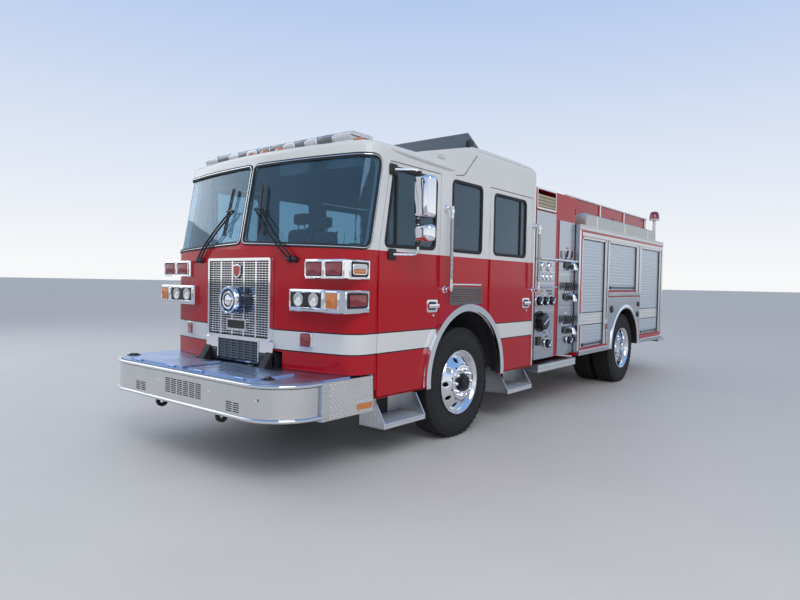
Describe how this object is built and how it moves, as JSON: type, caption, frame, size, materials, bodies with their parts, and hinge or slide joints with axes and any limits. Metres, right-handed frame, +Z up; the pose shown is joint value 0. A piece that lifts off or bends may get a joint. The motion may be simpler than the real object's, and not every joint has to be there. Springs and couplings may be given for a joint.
{
  "type": "custom-cab fire engine with extended bumper and side pump panel",
  "caption": "Pumper fire engine with a bowed four-door cab, extended bumper with lidded wells, pump panel, roll-up shutter body and hosebed on a two-axle truck chassis",
  "frame": {"origin": "on the ground at the middle of the vehicle's overall length and width", "axes": "+Z up, -Y the way the vehicle drives, +X its left side"},
  "size_m": [3.14, 9.23, 2.9548],
  "materials": {
    "red_paint": "gloss enamel",
    "white_paint": "gloss enamel",
    "chassis_black": "semi-gloss chassis paint",
    "cast_parts": "painted casting",
    "tank_plastic": "welded sheet",
    "polished_aluminium": "polished",
    "satin_aluminium": "satin anodised slats",
    "treadplate": "bright diamond tread",
    "stainless_steel": "polished stainless",
    "chrome_trim": "chrome plate",
    "tyre_rubber": "matte rubber",
    "tinted_glass": "tinted safety glass",
    "clear_lens": "clear lens",
    "red_lens": "red lens",
    "black_plastic": "gloss black",
    "seat_vinyl": "grained vinyl",
    "dash_plastic": "moulded"
  },
  "bodies": {
    "chassis": {"body_shell": "red_paint", "bumper_deck": "treadplate", "bumper_horns": "chassis_black", "cab_body": "red_paint", "cab_console": "dash_plastic", "cab_floor": "dash_plastic", "cab_front": "red_paint", "cab_glass": "tinted_glass", "cab_roof": "white_paint", "cab_seats": "seat_vinyl", "crosslay": "white_paint", "driveline": "cast_parts", "fenderettes": "stainless_steel", "frame_rails": "chassis_black", "front_axle": "chassis_black", "front_bumper": "stainless_steel", "grab_bars": "chrome_trim", "grille": "chrome_trim", "hose_wells": "treadplate", "hosebed": "red_paint", "lamps": "red_lens", "light_bar": "clear_lens", "pump_fittings": "chrome_trim", "pump_house": "red_paint", "rear_axle": "chassis_black", "roof_fairing": "white_paint", "shutters": "satin_aluminium", "side_panels": "stainless_steel", "siren": "black_plastic", "steps": "treadplate", "tanks": "tank_plastic"},
    "crew_door_body_left": {"crew_door_glass_left": "tinted_glass", "crew_door_left": "red_paint"},
    "crew_door_body_right": {"crew_door_glass_right": "tinted_glass", "crew_door_right": "red_paint"},
    "front_door_body_left": {"front_door_glass_left": "tinted_glass", "front_door_left": "red_paint", "mirror_left": "chrome_trim"},
    "front_door_body_right": {"front_door_glass_right": "tinted_glass", "front_door_right": "red_paint", "mirror_right": "chrome_trim"},
    "front_wheel_left": {"front_rim_left": "polished_aluminium", "front_tyre_left": "tyre_rubber"},
    "front_wheel_right": {"front_rim_right": "polished_aluminium", "front_tyre_right": "tyre_rubber"},
    "hatch_body_left": {"hatch_left": "treadplate"},
    "hatch_body_right": {"hatch_right": "treadplate"},
    "knuckle_body_left": {"knuckle_left": "chassis_black"},
    "knuckle_body_right": {"knuckle_right": "chassis_black"},
    "rear_wheel_left": {"rear_rims_left": "polished_aluminium", "rear_tyres_left": "tyre_rubber"},
    "rear_wheel_right": {"rear_rims_right": "polished_aluminium", "rear_tyres_right": "tyre_rubber"},
    "tie_rod_body": {"tie_rod": "chassis_black"}
  },
  "joints": [
    {"name": "steer_left", "type": "hinge", "parent": "chassis", "child": "knuckle_body_left", "pos_m": [0.895, -2.335, 0.528], "axis": [0, 0, 1], "range_deg": [-40, 40]},
    {"name": "front_wheel_spin_left", "type": "hinge", "parent": "knuckle_body_left", "child": "front_wheel_left", "pos_m": [1.068, -2.335, 0.528], "axis": [1, 0, 0], "continuous": true},
    {"name": "rear_wheel_spin_left", "type": "hinge", "parent": "chassis", "child": "rear_wheel_left", "pos_m": [0.924, 2.235, 0.528], "axis": [1, 0, 0], "continuous": true},
    {"name": "front_door_hinge_left", "type": "hinge", "parent": "chassis", "child": "front_door_body_left", "pos_m": [1.253, -3.614, 1.4], "axis": [0, 0, -1], "range_deg": [0, 75]},
    {"name": "crew_door_hinge_left", "type": "hinge", "parent": "chassis", "child": "crew_door_body_left", "pos_m": [1.253, -1.889, 1.4], "axis": [0, 0, -1], "range_deg": [0, 75]},
    {"name": "hatch_hinge_left", "type": "hinge", "parent": "chassis", "child": "hatch_body_left", "pos_m": [0.455, -4.543, 0.757], "axis": [1, 0, 0], "range_deg": [0, 95]},
    {"name": "steer_right", "type": "hinge", "parent": "chassis", "child": "knuckle_body_right", "pos_m": [-0.895, -2.335, 0.528], "axis": [0, 0, 1], "range_deg": [-40, 40]},
    {"name": "front_wheel_spin_right", "type": "hinge", "parent": "knuckle_body_right", "child": "front_wheel_right", "pos_m": [-1.068, -2.335, 0.528], "axis": [1, 0, 0], "continuous": true},
    {"name": "rear_wheel_spin_right", "type": "hinge", "parent": "chassis", "child": "rear_wheel_right", "pos_m": [-0.924, 2.235, 0.528], "axis": [1, 0, 0], "continuous": true},
    {"name": "front_door_hinge_right", "type": "hinge", "parent": "chassis", "child": "front_door_body_right", "pos_m": [-1.253, -3.614, 1.4], "axis": [0, 0, 1], "range_deg": [0, 75]},
    {"name": "crew_door_hinge_right", "type": "hinge", "parent": "chassis", "child": "crew_door_body_right", "pos_m": [-1.253, -1.889, 1.4], "axis": [0, 0, 1], "range_deg": [0, 75]},
    {"name": "hatch_hinge_right", "type": "hinge", "parent": "chassis", "child": "hatch_body_right", "pos_m": [-0.455, -4.543, 0.757], "axis": [1, 0, 0], "range_deg": [0, 95]},
    {"name": "tie_rod_pivot", "type": "hinge", "parent": "knuckle_body_left", "child": "tie_rod_body", "pos_m": [0.895, -2.145, 0.412], "axis": [0, 0, 1], "range_deg": [-40, 40]}
  ],
  "couplings": [
    {"joint": "steer_right", "follows": "steer_left", "ratio": 1},
    {"joint": "tie_rod_pivot", "follows": "steer_left", "ratio": -1}
  ]
}
